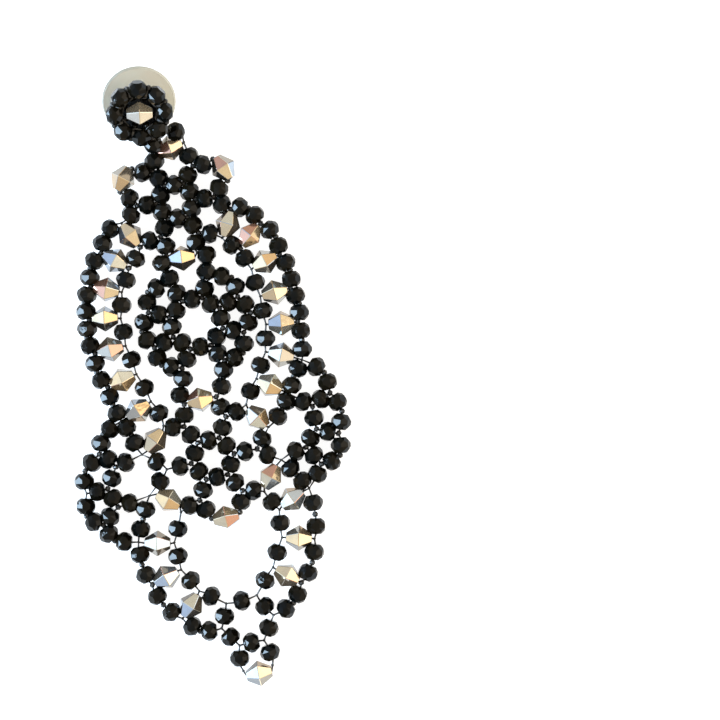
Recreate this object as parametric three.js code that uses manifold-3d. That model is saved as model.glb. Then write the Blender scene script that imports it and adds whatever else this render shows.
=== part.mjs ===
// A chandelier earring woven from faceted glass beads: black rondelles and silver bicone stones.
// Two rosettes and an eight-petal medallion hang between two ladder garlands, which end in two
// side wings, two swags and a pointed drop. A bead flower on a post tops it, with a clear disc
// behind. It lies on its back on a table. Millimetres, +Z up from the table, +Y towards the post.
import * as THREE from 'three';
import { ConvexGeometry } from 'three/addons/geometries/ConvexGeometry.js';
import { mergeVertices } from 'three/addons/utils/BufferGeometryUtils.js';
import Module from 'manifold-3d';

const wasm = await Module();
wasm.setup();

// Black rondelle
const beadDiameter = 3.2;
const beadLength = 2.5;
const beadTable = 1.25;
const beadSides = 6;

// Silver bicone stone
const stoneDiameter = 4.1;
const stoneLength = 4.1;
const stoneTable = 1.7;
const stoneHole = 1.0;
const stoneSides = 6;

// Turn of the beads about their own holes, in degrees
const spinStart = 8;
const spinStep = 17;
const spinRange = 44;

// Thread
const threadDiameter = 0.45;
const threadSides = 4;
const knotThickness = 0.4;
const knotGap = 0.35;
const threadExit = 0.4;
const stoneExit = 0.6;
const threadSeat = 0.3;
const clearance = 0.06;
const weldDistance = 1e-4;

// How round a bead counts when beads are eased apart, how far each kind gives way, and how firmly
// the thread draws
const stoneRoundness = 0.95;
const beadRoundness = 0.83;
const stoneGive = 0.3;
const beadGive = 0.7;
const homePull = 1.5;
const threadPull = 0.06;
const berth = 0.8;
const weavePasses = 24;

// Head: flower, post and clear disc
const petalCount = 8;
const petalRing = 7.8;
const petalTurn = -9;
const neckPetal = 7;
const headLean = 26;
const headStoneTurn = -10;
const stitchDiameter = 0.6;
const discDiameter = 11.6;
const discThickness = 1.0;
const discSides = 24;
const sleeveDiameter = 2.6;
const sleeveLength = 2.2;
const padDiameter = 6.4;
const padThickness = 1.0;
const padGap = 2.1;
const postDiameter = 0.8;
const postReach = 3.0;
const postSides = 12;
const fitClearance = 0.3;

// The places below are charted for this size of bead, and the whole net grows with the bead.
const chartBead = 3.2;
const gauge = beadDiameter / chartBead;
const rosetteUnits = 6;
const medallionUnits = 8;

// Places, measured from the middle of the medallion
const discPlace = { x: -1.5, y: 36.2 };
const leanToward = { x: 0.03, y: -1 };
const medallion = { x: -0.1, y: 0.1, turn: 88, centre: 3.75, radial: 6.05, outer: 8.6, split: 9.3 };
const rosettes = {
  upper: { x: 0.8, y: 19.5, turn: 84, centre: 2.75, radial: 4.75, outer: 7.1, split: 20.5, stone: 8.2 },
  lower: { x: -2.1, y: -21.6, turn: 90.6, centre: 2.95, radial: 5.2, outer: 8.1, split: 19.5, stone: 9.6 },
};
const ladder = { inner: 2.35, outer: 3.2, step: 1.28 };

// Routes of the bead strings: hand-chosen points, from the top of each string to its end
const routes = {
  garland_left: [[-10.6, 12.4], [-12.9, 8.2], [-14.1, 3.7], [-14.3, -1.2], [-13.5, -6.4], [-11.9, -11.7]],
  garland_right: [[11.1, 11.9], [12.6, 7.2], [13.1, 2.1], [13.1, -2.9], [12.0, -7.8], [9.2, -12.1]],
  swag_left: [[-13.5, -32.9], [-13.3, -38.4], [-10.4, -43.7]],
  swag_right: [[8.9, -30.5], [8.6, -36.8], [5.5, -42.2]],
  link_upper_left: [[-3.1, 7.7], [-3.6, 10.0]],
  link_upper_right: [[3.5, 7.6], [3.9, 9.8]],
  link_lower_left: [[-4.6, -7.9], [-5.1, -10.6]],
  link_lower_right: [[2.6, -8.2], [1.8, -10.8]],
  wing_left: [[-16.1, -19.4], [-18.2, -17.8], [-19.0, -15.1], [-16.6, -13.6], [-21.0, -18.3], [-23.1, -20.6],
    [-21.2, -22.6], [-18.4, -21.5], [-23.7, -25.1], [-22.9, -27.7], [-20.1, -27.1], [-18.9, -24.3],
    [-21.0, -30.0], [-18.5, -31.7], [-16.9, -26.1]],
  wing_right: [[17.3, -10.7], [18.4, -13.3], [16.6, -15.7], [13.8, -15.8], [19.6, -17.1], [19.2, -20.0],
    [16.7, -21.4], [14.8, -18.8], [18.6, -24.1], [16.4, -26.4], [13.8, -24.4], [13.4, -21.5],
    [13.6, -27.5], [11.1, -22.8]],
  point: [[-5.4, -46.4], [0.8, -46.4], [-2.3, -45.0], [-5.4, -49.8], [-2.4, -51.3], [0.9, -49.7],
    [-4.9, -53.3], [0.7, -53.5]],
  tip: [[-2.1, -56.5]],
  neck: [[-0.5, 28.0], [3.1, 29.5]],
};
const neckRise = 2.2;

const black = new THREE.MeshStandardMaterial({ color: 0x0d0d0e, roughness: 0.12, metalness: 0.0 });
const silver = new THREE.MeshStandardMaterial({ color: 0xc9c3b8, roughness: 0.1, metalness: 0.8 });
const clear = new THREE.MeshStandardMaterial({ color: 0xdfe2da, roughness: 0.3, metalness: 0.0 });
const steel = new THREE.MeshStandardMaterial({ color: 0xb8b8b6, roughness: 0.3, metalness: 1.0 });

const layerHeight = stoneDiameter / 2;
const up = new THREE.Vector3(0, 0, 1);

// Solids

function toSolid(geometry) {
  const bare = geometry.clone();
  bare.deleteAttribute('normal');
  bare.deleteAttribute('uv');
  const merged = mergeVertices(bare, weldDistance);
  return new wasm.Manifold(new wasm.Mesh({
    numProp: 3,
    vertProperties: new Float32Array(merged.attributes.position.array),
    triVerts: new Uint32Array(merged.index.array),
  }));
}

function toMesh(solid, name, material) {
  const mesh = solid.getMesh();
  const geometry = new THREE.BufferGeometry();
  geometry.setAttribute('position', new THREE.BufferAttribute(new Float32Array(mesh.vertProperties), 3));
  geometry.setIndex(Array.from(mesh.triVerts));
  geometry.computeVertexNormals();
  const result = new THREE.Mesh(geometry, material);
  result.name = name;
  return result;
}

function joinAll(solids) {
  return solids.reduce((sum, solid) => sum.add(solid));
}

function ringProfile(points) {
  return points.map(([radius, height]) => new THREE.Vector2(radius, height));
}

// A lathe's axis is Y, so each turned piece is laid along its own direction afterwards.
function alongAxis(geometry, centre, direction, spin = 0) {
  geometry.rotateY(spin);
  geometry.applyQuaternion(new THREE.Quaternion().setFromUnitVectors(new THREE.Vector3(0, 1, 0), direction));
  return geometry.translate(centre.x, centre.y, centre.z);
}

function circle(diameter, height, sides) {
  return Array.from({ length: sides }, (_, k) => {
    const angle = (k / sides) * 2 * Math.PI;
    return new THREE.Vector3((diameter / 2) * Math.cos(angle), height, (diameter / 2) * Math.sin(angle));
  });
}

function rondelleGeometry(grow = 0) {
  return new ConvexGeometry([
    ...circle(beadTable + 2 * grow, -beadLength / 2 - grow, beadSides),
    ...circle(beadDiameter + 2 * grow, 0, beadSides),
    ...circle(beadTable + 2 * grow, beadLength / 2 + grow, beadSides),
  ]);
}

function biconeGeometry(grow = 0) {
  const half = stoneLength / 2 + grow;
  const hole = stoneHole / 2 - grow;
  return new THREE.LatheGeometry(ringProfile([
    [hole, -half], [stoneTable / 2 + grow, -half], [stoneDiameter / 2 + grow, 0],
    [stoneTable / 2 + grow, half], [hole, half], [hole, -half],
  ]), stoneSides);
}

function threadBetween(start, end, diameter = threadDiameter) {
  const direction = end.clone().sub(start);
  const geometry = new THREE.CylinderGeometry(diameter / 2, diameter / 2, direction.length(), threadSides);
  return alongAxis(geometry, start.clone().lerp(end, 0.5), direction.normalize());
}

// Chart of the weave: every bead has a field, a place and, from its rings, two ends

const beads = new Map();
const rings = [];

function place(name, field, x, y, z = layerHeight) {
  const spin = spinStart + (beads.size * spinStep) % spinRange;
  const at = new THREE.Vector3(x, y, z);
  beads.set(name, { name, field, stone: field === 'stone', at, spin, ends: [null, null] });
  return name;
}

function polar(hub, radius, degrees) {
  const angle = THREE.MathUtils.degToRad(degrees);
  return [gauge * (hub.x + radius * Math.cos(angle)), gauge * (hub.y + radius * Math.sin(angle))];
}

function placeRoute(route, nameOf, field = route, z = layerHeight) {
  return routes[route].map(([x, y], i) => place(nameOf(i), field, gauge * x, gauge * y, z));
}

function weaveRosette(level) {
  const hub = rosettes[level];
  const field = `rosette_${level}`;
  const units = rosetteUnits;
  const step = 360 / units;
  for (let k = 0; k < units; k += 1) {
    const angle = hub.turn - k * step;
    place(`${field}_c${k}`, field, ...polar(hub, hub.centre, angle));
    place(`${field}_r${k}`, field, ...polar(hub, hub.radial, angle - step / 2));
    place(`${field}_a${k}`, field, ...polar(hub, hub.outer, angle + hub.split));
    place(`${field}_b${k}`, field, ...polar(hub, hub.outer, angle - hub.split));
    place(`stone_${level}_${k}`, 'stone', ...polar(hub, hub.stone, angle));
    beads.get(`stone_${level}_${k}`).home = field;
  }
  for (let k = 0; k < units; k += 1) {
    const before = (k + units - 1) % units;
    rings.push([`${field}_c${k}`, `${field}_r${before}`, `${field}_a${k}`, `stone_${level}_${k}`,
      `${field}_b${k}`, `${field}_r${k}`]);
  }
}

function weaveMedallion() {
  const units = medallionUnits;
  const step = 360 / units;
  for (let k = 0; k < units; k += 1) {
    const angle = medallion.turn - k * step;
    place(`medallion_c${k}`, 'medallion', ...polar(medallion, medallion.centre, angle));
    place(`medallion_r${k}`, 'medallion', ...polar(medallion, medallion.radial, angle - step / 2));
  }
  const bottomUnit = units / 2;
  for (const [side, stone, k] of [['upper', 'stone_upper_3', 0], ['lower', 'stone_lower_0', bottomUnit]]) {
    for (const hand of ['left', 'right']) {
      const route = `link_${side}_${hand}`;
      placeRoute(route, (i) => `${route}_${i}`, 'medallion');
    }
    const [first, last] = k === 0 ? ['left', 'right'] : ['right', 'left'];
    rings.push([`medallion_c${k}`, `medallion_r${(k + units - 1) % units}`, `link_${side}_${first}_0`,
      `link_${side}_${first}_1`, stone, `link_${side}_${last}_1`, `link_${side}_${last}_0`,
      `medallion_r${k}`]);
  }
  for (let k = 1; k < units; k += 1) {
    if (k !== bottomUnit) {
      const angle = medallion.turn - k * step;
      place(`medallion_a${k}`, 'medallion', ...polar(medallion, medallion.outer, angle + medallion.split));
      place(`medallion_b${k}`, 'medallion', ...polar(medallion, medallion.outer, angle - medallion.split));
      rings.push([`medallion_c${k}`, `medallion_r${k - 1}`, `medallion_a${k}`, `medallion_b${k}`,
        `medallion_r${k}`]);
    }
  }
}

// A ladder hangs its stones as rungs: one bead joins them on the inner side and two on the outer.
function weaveLadder(field, rungs, outward) {
  for (let k = 0; k + 1 < rungs.length; k += 1) {
    const from = beads.get(rungs[k]).at;
    const to = beads.get(rungs[k + 1]).at;
    const along = to.clone().sub(from).normalize();
    const out = new THREE.Vector3(along.y, -along.x, 0).multiplyScalar(outward);
    const middle = from.clone().lerp(to, 0.5);
    const spot = (side, forward) => {
      const point = middle.clone().addScaledVector(out, gauge * side).addScaledVector(along, gauge * forward);
      return [point.x, point.y];
    };
    place(`${field}_i${k}`, field, ...spot(-ladder.inner, 0));
    place(`${field}_o${2 * k}`, field, ...spot(ladder.outer, -ladder.step));
    place(`${field}_o${2 * k + 1}`, field, ...spot(ladder.outer, ladder.step));
    rings.push([rungs[k], `${field}_i${k}`, rungs[k + 1], `${field}_o${2 * k + 1}`, `${field}_o${2 * k}`]);
  }
}

function weaveString(field, top, bottom, outward) {
  const stones = placeRoute(field, (i) => `stone_${field}_${i + 1}`, 'stone');
  weaveLadder(field, [top, ...stones, bottom], outward);
}

function weavePoint() {
  placeRoute('point', (i) => `point_${i}`);
  placeRoute('tip', () => 'stone_tip', 'stone');
  rings.push(['point_0', 'point_2', 'point_1', 'point_5', 'point_4', 'point_3']);
  rings.push(['point_4', 'point_6', 'stone_tip', 'point_7']);
}

// A wing grows from one outer pair of the garland to the first outer pair of the swag.
function weaveWing(hand, garlandPair) {
  const w = (i) => `wing_${hand}_${i}`;
  placeRoute(`wing_${hand}`, w);
  const [upperBead, lowerBead] = garlandPair.map((i) => `garland_${hand}_o${i}`);
  if (hand === 'left') {
    rings.push([w(3), w(2), w(1), w(0), lowerBead, upperBead]);
    rings.push([w(1), w(4), w(5), w(6), w(7)]);
    rings.push([w(6), w(8), w(9), w(10), w(11)]);
    rings.push([w(10), w(12), w(13), 'swag_left_o1', 'swag_left_o0', w(14)]);
  } else {
    rings.push([w(0), w(1), w(2), w(3), lowerBead, upperBead]);
    rings.push([w(2), w(4), w(5), w(6), w(7)]);
    rings.push([w(6), w(8), w(9), w(10), w(11)]);
    rings.push([w(10), w(12), 'swag_right_o1', 'swag_right_o0', w(13)]);
  }
}

function halfLength(bead) {
  return (bead.stone ? stoneLength : beadLength) / 2;
}

// Two beads of the neck climb from the top stone to the flower.
function weaveNeck() {
  placeRoute('neck', (i) => `neck_${i}`, 'flower', layerHeight + neckRise);
  rings.push(['stone_upper_0', 'neck_1', 'neck_0']);
}

// Where two beads of a ring meet, their ends share a knot of thread.
const knots = [];

function signedArea(ring) {
  return ring.reduce((sum, name, i) => {
    const a = beads.get(name).at;
    const b = beads.get(ring[(i + 1) % ring.length]).at;
    return sum + a.x * b.y - b.x * a.y;
  }, 0);
}

function shareKnot(first, firstEnd, second, secondEnd) {
  const held = first.ends[firstEnd];
  const other = second.ends[secondEnd];
  if (held && held === other) return;
  const knot = { members: [] };
  for (const [bead, end, old] of [[first, firstEnd, held], [second, secondEnd, other]]) {
    const members = old ? old.members : [{ bead, end }];
    knot.members.push(...members);
    if (old) knots.splice(knots.indexOf(old), 1);
  }
  knot.members.forEach((member) => { member.bead.ends[member.end] = knot; });
  knots.push(knot);
}

function tieKnots() {
  const used = new Map();
  for (const ring of rings) {
    const turned = signedArea(ring) < 0 ? [...ring].reverse() : ring;
    turned.forEach((name, i) => {
      const next = turned[(i + 1) % turned.length];
      const leaving = used.has(name) ? 0 : 1;
      const arriving = used.has(next) ? 1 : 0;
      shareKnot(beads.get(name), leaving, beads.get(next), arriving);
    });
    turned.forEach((name) => used.set(name, true));
  }
}

// A bead points from one of its knots to the other, and a knot lies amid the ends that meet there.
function settleKnots() {
  for (const knot of knots) {
    const sum = new THREE.Vector3();
    for (const { bead, end } of knot.members) {
      sum.add(bead.along ? beadTip(bead, end, bead.stone ? -stoneExit : 0) : bead.at);
    }
    knot.at = sum.divideScalar(knot.members.length);
  }
  for (const bead of beads.values()) {
    bead.along = bead.ends[1].at.clone().sub(bead.ends[0].at).normalize();
  }
}

// The thread draws each black bead towards the middle between its knots.
function drawTight() {
  for (const bead of beads.values()) {
    if (!bead.stone) {
      const [start, end] = bead.ends.map((knot, side) => knot.at.clone()
        .addScaledVector(bead.along, knot.owner === bead.field ? 0 : (side ? -berth : berth)));
      bead.at.lerp(start.lerp(end, 0.5), threadPull);
    }
  }
}

function beadTip(bead, end, depth) {
  return bead.at.clone().addScaledVector(bead.along, (end ? 1 : -1) * (halfLength(bead) - depth));
}

// The small lump of thread at a knot is thickest in its middle and tapers into each bead's hole.
function knotSolid(tips) {
  const middle = tips.reduce((sum, tip) => sum.add(tip), new THREE.Vector3()).divideScalar(tips.length);
  const along = tips[1].clone().sub(tips[0]).normalize();
  const across = tips.length > 2 ? along : new THREE.Vector3().crossVectors(up, along);
  const corners = tips.length > 2 ? 1 : 2;
  const points = Array.from({ length: corners }, (_, k) => {
    const angle = Math.PI / 2 + (k * 2 * Math.PI) / 3;
    return middle.clone()
      .addScaledVector(across, knotThickness / 2 * Math.cos(angle))
      .addScaledVector(up, knotThickness / 2 * Math.sin(angle));
  });
  return toSolid(new ConvexGeometry([...tips, ...points]));
}

// Beads that were charted too close are eased apart, black ones more than stones.
function easeApart() {
  const all = [...beads.values()];
  const reach = (bead) => (bead.stone ? stoneDiameter * stoneRoundness : beadDiameter * beadRoundness) / 2;
  const give = (bead) => (bead.stone ? stoneGive : beadGive);
  for (let i = 0; i < all.length; i += 1) {
    for (let j = i + 1; j < all.length; j += 1) {
      const apart = all[j].at.clone().sub(all[i].at);
      const short = reach(all[i]) + reach(all[j]) - apart.length();
      if (short > 0) {
        apart.setZ(0).normalize().multiplyScalar(short / (give(all[i]) + give(all[j])));
        all[i].at.addScaledVector(apart, -give(all[i]));
        all[j].at.addScaledVector(apart, give(all[j]));
      }
    }
  }
}

// Each knot belongs to the field with most beads there, and each stone's thread to a field.
function chooseOwners() {
  for (const knot of knots) {
    const counts = new Map();
    for (const { bead } of knot.members) {
      if (!bead.stone) counts.set(bead.field, (counts.get(bead.field) || 0) + 1);
    }
    const home = knot.members.map(({ bead }) => bead.home).find((field) => field && counts.has(field));
    if (home) counts.set(home, counts.get(home) + homePull);
    knot.owner = [...counts.keys()].sort((a, b) => counts.get(b) - counts.get(a))[0];
  }
  for (const bead of beads.values()) {
    if (bead.stone) bead.carrier = bead.ends[0].owner;
  }
}

function stoneThread(stone) {
  const through = stone.ends[1].owner === stone.carrier;
  return threadBetween(beadTip(stone, 0, -threadExit), beadTip(stone, 1, through ? -threadExit : threadSeat));
}

// Every bead lies turned a little differently about its own hole.
function beadSolid(bead, grow = 0) {
  const geometry = bead.stone ? biconeGeometry(grow) : rondelleGeometry(grow);
  return toSolid(alongAxis(geometry, bead.at, bead.along, THREE.MathUtils.degToRad(bead.spin)));
}

// The head leans: its own height runs from the middle of the disc out through the flower.
const lean = THREE.MathUtils.degToRad(headLean);
const leanWay = new THREE.Vector2(leanToward.x, leanToward.y).normalize();
const headUp = new THREE.Vector3(leanWay.x * Math.sin(lean), leanWay.y * Math.sin(lean), Math.cos(lean));
const headTurn = new THREE.Quaternion().setFromUnitVectors(up, headUp);
const discHeight = (discDiameter / 2) * Math.sin(lean) + (discThickness / 2) * Math.cos(lean);
const headOrigin = new THREE.Vector3(gauge * discPlace.x, gauge * discPlace.y, discHeight);
const padBack = discThickness / 2 + padGap;
const flowerHeight = padBack + padThickness + fitClearance + stoneDiameter / 2;

function headPoint(radius, angle, height) {
  return new THREE.Vector3(radius * Math.cos(angle), radius * Math.sin(angle), height)
    .applyQuaternion(headTurn).add(headOrigin);
}

function headDirection(angle) {
  return new THREE.Vector3(Math.cos(angle), Math.sin(angle), 0).applyQuaternion(headTurn);
}

function petalAngle(k) {
  return THREE.MathUtils.degToRad(petalTurn + (k * 360) / petalCount);
}

function neckKnot() {
  const [left, right] = [beads.get('neck_0'), beads.get('neck_1')];
  return left.ends.find((knot) => right.ends.includes(knot));
}

const headStone = {
  name: 'flower_stone',
  stone: true,
  spin: spinStart,
  at: headPoint(0, 0, flowerHeight),
  along: headDirection(THREE.MathUtils.degToRad(headStoneTurn)),
};

// The petals are stitched to a ring of thread, and one more thread crosses it through the stone.
function petalSolids() {
  const stitchRing = petalRing / 2 - beadLength / 2 + stitchDiameter / 2;
  const ring = new THREE.TorusGeometry(stitchRing, stitchDiameter / 2, threadSides, 2 * petalCount)
    .applyQuaternion(headTurn);
  const middle = headPoint(0, 0, flowerHeight);
  ring.translate(middle.x, middle.y, middle.z);
  const solids = [toSolid(ring)];
  for (let k = 0; k < petalCount; k += 1) {
    const at = headPoint(petalRing / 2, petalAngle(k), flowerHeight);
    solids.push(beadSolid({ stone: false, at, along: headDirection(petalAngle(k)), spin: spinStart + k }));
  }
  const reach = headStone.along.clone().multiplyScalar(stitchRing);
  solids.push(toSolid(threadBetween(middle.clone().sub(reach), middle.clone().add(reach))));
  return solids;
}

function turnedOnHead(profile, sides) {
  return toSolid(alongAxis(new THREE.LatheGeometry(ringProfile(profile), sides), headOrigin, headUp));
}

// The pad that carries the flower and the post behind it are soldered, so they are one piece.
function earPost() {
  return turnedOnHead([
    [0, -postReach], [postDiameter / 2, -postReach], [postDiameter / 2, padBack], [padDiameter / 2, padBack],
    [padDiameter / 2, padBack + padThickness], [0, padBack + padThickness],
  ], postSides);
}

// A clear disc with a short sleeve behind slides on the post.
function clutchDisc() {
  const hole = postDiameter / 2 + fitClearance;
  const half = discThickness / 2;
  return turnedOnHead([
    [hole, -half - sleeveLength], [sleeveDiameter / 2, -half - sleeveLength], [sleeveDiameter / 2, -half],
    [discDiameter / 2, -half], [discDiameter / 2, half], [hole, half], [hole, -half - sleeveLength],
  ], discSides);
}

// A field is its black beads, the knots it owns and the thread through the stones it carries,
// cut clear of the stones and of the next field's beads.
function fieldSolid(field) {
  const own = [...beads.values()].filter((bead) => bead.field === field);
  const carried = [...beads.values()].filter((bead) => bead.stone && bead.carrier === field);
  const parts = own.map((bead) => beadSolid(bead));
  const guests = new Set();
  carried.forEach((stone) => parts.push(toSolid(stoneThread(stone))));
  if (field === 'flower') parts.push(...petalSolids());
  for (const knot of knots) {
    const tips = [];
    for (const { bead, end } of knot.members) {
      const depth = bead.stone ? -knotGap : threadSeat;
      const held = (bead.stone ? bead.carrier : bead.field) === field;
      if (held) tips.push(beadTip(bead, end, depth));
      else if (knot.owner === field) guests.add(bead);
      if (bead.stone && knot.members.some((other) => other.bead.field === field)) guests.add(bead);
    }
    if (knot === neckKnot()) {
      const rim = petalRing / 2 + beadLength / 2 - threadSeat;
      tips.push(headPoint(rim, petalAngle(neckPetal), flowerHeight));
    }
    if (knot.owner === field && tips.length > 1) parts.push(knotSolid(tips));
  }
  return [...guests].reduce((rest, guest) => rest.subtract(beadSolid(guest, clearance)), joinAll(parts));
}

weaveRosette('upper');
weaveRosette('lower');
weaveMedallion();
weavePoint();
weaveString('garland_left', 'stone_upper_4', 'stone_lower_5', 1);
weaveString('garland_right', 'stone_upper_2', 'stone_lower_1', -1);
weaveString('swag_left', 'stone_lower_4', 'point_0', 1);
weaveString('swag_right', 'stone_lower_2', 'point_1', -1);
weaveWing('left', [12, 13]);
weaveWing('right', [10, 11]);
weaveNeck();
tieKnots();
chooseOwners();
for (let pass = 0; pass < weavePasses; pass += 1) {
  settleKnots();
  drawTight();
  easeApart();
}
settleKnots();

const earring = new THREE.Group();
const fields = ['flower', 'rosette_upper', 'medallion', 'rosette_lower', 'garland_left', 'garland_right',
  'wing_left', 'wing_right', 'swag_left', 'swag_right', 'point'];
fields.forEach((field) => earring.add(toMesh(fieldSolid(field), `${field}_beads`, black)));
const stones = [...beads.values(), headStone].filter((bead) => bead.stone);
stones.forEach((stone) => earring.add(toMesh(beadSolid(stone), stone.name, silver)));
earring.add(toMesh(earPost(), 'ear_post', steel));
earring.add(toMesh(clutchDisc(), 'clutch_disc', clear));

// The origin is under the middle of the earring, on the table.
const box = new THREE.Box3().setFromObject(earring);
const middle = box.getCenter(new THREE.Vector3());
earring.position.set(-middle.x, -middle.y, -box.min.z);

export default earring;
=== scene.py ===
# %% [markdown]
# A bead-woven earring, dressed for its portrait
#
# The earring is a flat net of black faceted glass beads with silver bicone stones, a bead flower
# on top and a clear plastic disc behind it. The solids of the part are loaded first. They fix every
# place and size, and what follows gives each piece its cut, its polish and its thread.

# %% Load the part
import math
import random

import bpy
from mathutils import Matrix, Vector


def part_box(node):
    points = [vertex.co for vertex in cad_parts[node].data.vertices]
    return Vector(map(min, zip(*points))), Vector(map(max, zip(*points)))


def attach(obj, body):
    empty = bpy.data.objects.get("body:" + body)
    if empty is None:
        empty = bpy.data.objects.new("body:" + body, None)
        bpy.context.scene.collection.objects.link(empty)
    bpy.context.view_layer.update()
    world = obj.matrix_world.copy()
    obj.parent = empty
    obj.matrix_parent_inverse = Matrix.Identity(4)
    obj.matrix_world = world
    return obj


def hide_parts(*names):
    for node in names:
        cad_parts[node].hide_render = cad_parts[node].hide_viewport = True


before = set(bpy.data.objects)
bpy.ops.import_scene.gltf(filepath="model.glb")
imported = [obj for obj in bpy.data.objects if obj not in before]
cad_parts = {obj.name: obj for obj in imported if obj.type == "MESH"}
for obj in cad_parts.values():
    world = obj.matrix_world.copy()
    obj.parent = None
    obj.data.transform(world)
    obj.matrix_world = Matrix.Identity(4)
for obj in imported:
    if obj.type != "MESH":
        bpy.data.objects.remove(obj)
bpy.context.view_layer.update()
MM = 0.001
print("solids loaded:", len(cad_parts))

# %% [markdown]
# The chart of the weave
#
# A bead weaver works from a chart: beads are picked up in small rings, and each ring shares a bead
# or two with the last. The same chart is written here as in the solids, in millimetres from the
# middle of the medallion, so that the cut beads land on the plain ones. Each bead gets a field,
# which is the string it belongs to, and a place.

# %% Sizes of the beads
BEAD_DIAMETER = 3.2
BEAD_LENGTH = 2.5
STONE_DIAMETER = 4.1
STONE_LENGTH = 4.1
LAYER = STONE_DIAMETER / 2
SPIN_START, SPIN_STEP, SPIN_RANGE = 8, 17, 44

MEDALLION = dict(x=-0.1, y=0.1, turn=88, centre=3.75, radial=6.05, outer=8.6, split=9.3)
ROSETTES = {
    "upper": dict(x=0.8, y=19.5, turn=84, centre=2.75, radial=4.75, outer=7.1, split=20.5, stone=8.2),
    "lower": dict(x=-2.1, y=-21.6, turn=90.6, centre=2.95, radial=5.2, outer=8.1, split=19.5, stone=9.6),
}
LADDER = dict(inner=2.35, outer=3.2, step=1.28)
NECK_RISE = 2.2

# %% Routes of the strings
ROUTES = {
    "garland_left": [
        (-10.6, 12.4), (-12.9, 8.2), (-14.1, 3.7), (-14.3, -1.2), (-13.5, -6.4), (-11.9, -11.7)],
    "garland_right": [
        (11.1, 11.9), (12.6, 7.2), (13.1, 2.1), (13.1, -2.9), (12.0, -7.8), (9.2, -12.1)],
    "swag_left": [(-13.5, -32.9), (-13.3, -38.4), (-10.4, -43.7)],
    "swag_right": [(8.9, -30.5), (8.6, -36.8), (5.5, -42.2)],
    "link_upper_left": [(-3.1, 7.7), (-3.6, 10.0)],
    "link_upper_right": [(3.5, 7.6), (3.9, 9.8)],
    "link_lower_left": [(-4.6, -7.9), (-5.1, -10.6)],
    "link_lower_right": [(2.6, -8.2), (1.8, -10.8)],
    "wing_left": [
        (-16.1, -19.4), (-18.2, -17.8), (-19.0, -15.1), (-16.6, -13.6), (-21.0, -18.3), (-23.1, -20.6),
        (-21.2, -22.6), (-18.4, -21.5), (-23.7, -25.1), (-22.9, -27.7), (-20.1, -27.1), (-18.9, -24.3),
        (-21.0, -30.0), (-18.5, -31.7), (-16.9, -26.1)],
    "wing_right": [
        (17.3, -10.7), (18.4, -13.3), (16.6, -15.7), (13.8, -15.8), (19.6, -17.1), (19.2, -20.0),
        (16.7, -21.4), (14.8, -18.8), (18.6, -24.1), (16.4, -26.4), (13.8, -24.4), (13.4, -21.5),
        (13.6, -27.5), (11.1, -22.8)],
    "point": [
        (-5.4, -46.4), (0.8, -46.4), (-2.3, -45.0), (-5.4, -49.8), (-2.4, -51.3), (0.9, -49.7),
        (-4.9, -53.3), (0.7, -53.5)],
    "tip": [(-2.1, -56.5)],
    "neck": [(-0.5, 28.0), (3.1, 29.5)],
}


# %% Beads and where they go
class Bead:
    def __init__(self, name, field, at, spin):
        self.name = name
        self.field = field
        self.stone = field == "stone"
        self.at = at
        self.spin = spin
        self.home = None
        self.along = None
        self.ends = [None, None]
        self.half = (STONE_LENGTH if self.stone else BEAD_LENGTH) / 2

    def tip(self, end, depth=0.0):
        return self.at + self.along * ((1 if end else -1) * (self.half - depth))


class Knot:
    def __init__(self, members):
        self.members = members
        self.at = None
        self.owner = None


beads = {}
rings = []
knots = []


def place(name, field, x, y, z=LAYER):
    spin = SPIN_START + (len(beads) * SPIN_STEP) % SPIN_RANGE
    beads[name] = Bead(name, field, Vector((x, y, z)), spin)
    return name


def polar(hub, radius, degrees):
    angle = math.radians(degrees)
    return hub["x"] + radius * math.cos(angle), hub["y"] + radius * math.sin(angle)


# %% [markdown]
# Rosettes and medallion
#
# A rosette is one ring of six beads with six more rings round it, each closed by a silver stone.
# The medallion is a ring of eight with eight petals, and its top and bottom petals are longer,
# because they reach for the stones of the two rosettes.

# %% Chart the rosettes
def weave_rosette(level):
    hub = ROSETTES[level]
    field = f"rosette_{level}"
    units = 6
    step = 360 / units
    for k in range(units):
        angle = hub["turn"] - k * step
        place(f"{field}_c{k}", field, *polar(hub, hub["centre"], angle))
        place(f"{field}_r{k}", field, *polar(hub, hub["radial"], angle - step / 2))
        place(f"{field}_a{k}", field, *polar(hub, hub["outer"], angle + hub["split"]))
        place(f"{field}_b{k}", field, *polar(hub, hub["outer"], angle - hub["split"]))
        place(f"stone_{level}_{k}", "stone", *polar(hub, hub["stone"], angle))
        beads[f"stone_{level}_{k}"].home = field
    for k in range(units):
        before = (k + units - 1) % units
        rings.append([f"{field}_c{k}", f"{field}_r{before}", f"{field}_a{k}", f"stone_{level}_{k}",
                      f"{field}_b{k}", f"{field}_r{k}"])


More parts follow.
